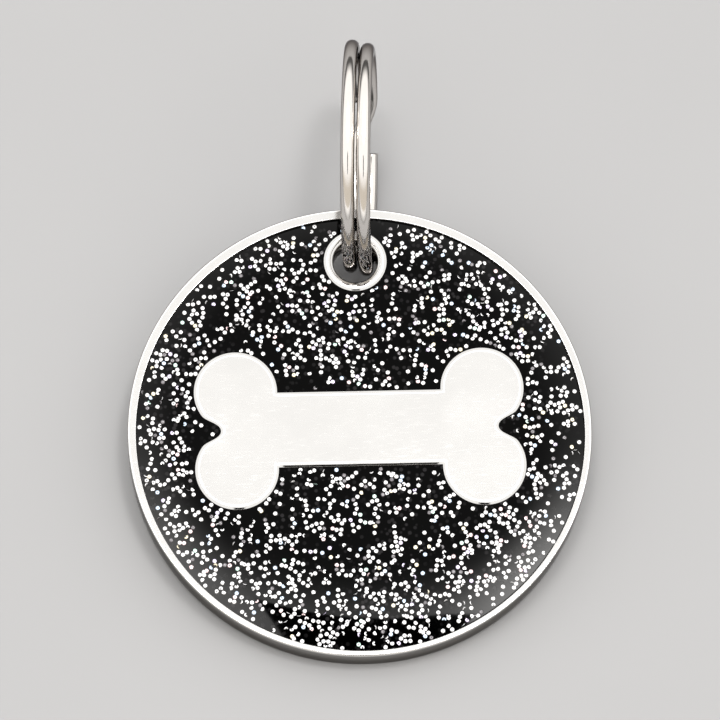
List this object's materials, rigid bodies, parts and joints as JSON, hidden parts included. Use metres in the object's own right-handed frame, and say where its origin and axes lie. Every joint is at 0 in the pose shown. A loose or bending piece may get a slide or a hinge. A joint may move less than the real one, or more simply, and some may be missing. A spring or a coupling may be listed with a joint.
{
  "type": "pet tag",
  "caption": "Round metal pet tag with a bone emblem in glitter enamel, hung on a split ring through a collared hole.",
  "frame": {"origin": "centre of the tag's flat back face", "axes": "+Z out of the enamelled face, +Y from the tag's centre to the hole and the ring, +X to the right"},
  "size_m": [0.032, 0.0434, 0.0162],
  "materials": {
    "polished_nickel": "mirror polish",
    "black_enamel": "gloss",
    "glitter_resin": "clear gloss with silver flakes",
    "ring_wire": "polished plate"
  },
  "bodies": {
    "tag": {"tag_body": "polished_nickel", "enamel_ground": "black_enamel", "glitter_resin": "glitter_resin"},
    "ring": {"split_ring": "ring_wire"},
    "ring_free_end": {"split_ring_free_end": "ring_wire"}
  },
  "joints": [
    {"name": "ring_swing", "type": "hinge", "parent": "tag", "child": "ring", "pos_m": [0.0003, 0.0122, 0.0012], "axis": [0.9973, -0.0453, 0.0576], "range_deg": [-47, 0]},
    {"name": "ring_opening", "type": "hinge", "parent": "ring", "child": "ring_free_end", "pos_m": [-0.00063, 0.01342, 0.00892], "axis": [-0.0161, 0.6307, 0.7759], "range_deg": [0, 8], "stiffness_Nm_per_rad": 0.86}
  ]
}
